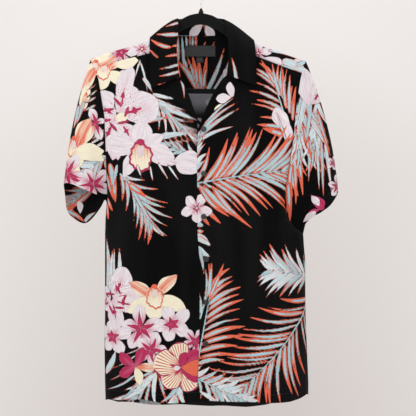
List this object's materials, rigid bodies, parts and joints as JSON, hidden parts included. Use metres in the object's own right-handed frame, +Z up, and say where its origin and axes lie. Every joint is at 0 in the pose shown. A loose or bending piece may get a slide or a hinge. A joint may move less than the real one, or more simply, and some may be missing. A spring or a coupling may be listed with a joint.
{
  "type": "hawaiian shirt on hanger",
  "caption": "Short-sleeved camp-collar shirt in a black tropical leaf and flower print, buttoned, hung on a slim black hanger with a wire hook.",
  "frame": {"origin": "inside top of the hook, where it rests on a rod", "axes": "+Z up, +X to the viewer's right (the wearer's left), and the shirt's front faces -Y"},
  "size_m": [0.5762, 0.1308, 0.9252],
  "materials": {
    "print": "printed viscose, soft and matte",
    "woven_label": "woven damask",
    "buttons": "polished",
    "flocked": "flocked velvet",
    "hook_wire": "plated wire"
  },
  "bodies": {
    "root": {"back": "print", "yoke": "print", "yoke_inner": "print", "front_right": "print", "front_left": "print", "lapel_right": "print", "lapel_left": "print", "collar": "print", "sleeve_right": "print", "sleeve_left": "print", "label": "woven_label", "size_tab": "woven_label", "button_1": "buttons", "button_2": "buttons", "button_3": "buttons", "button_4": "buttons", "button_5": "buttons", "button_6": "buttons", "hanger_body": "flocked", "hanger_boss": "flocked", "hanger_hook": "hook_wire"}
  },
  "joints": []
}
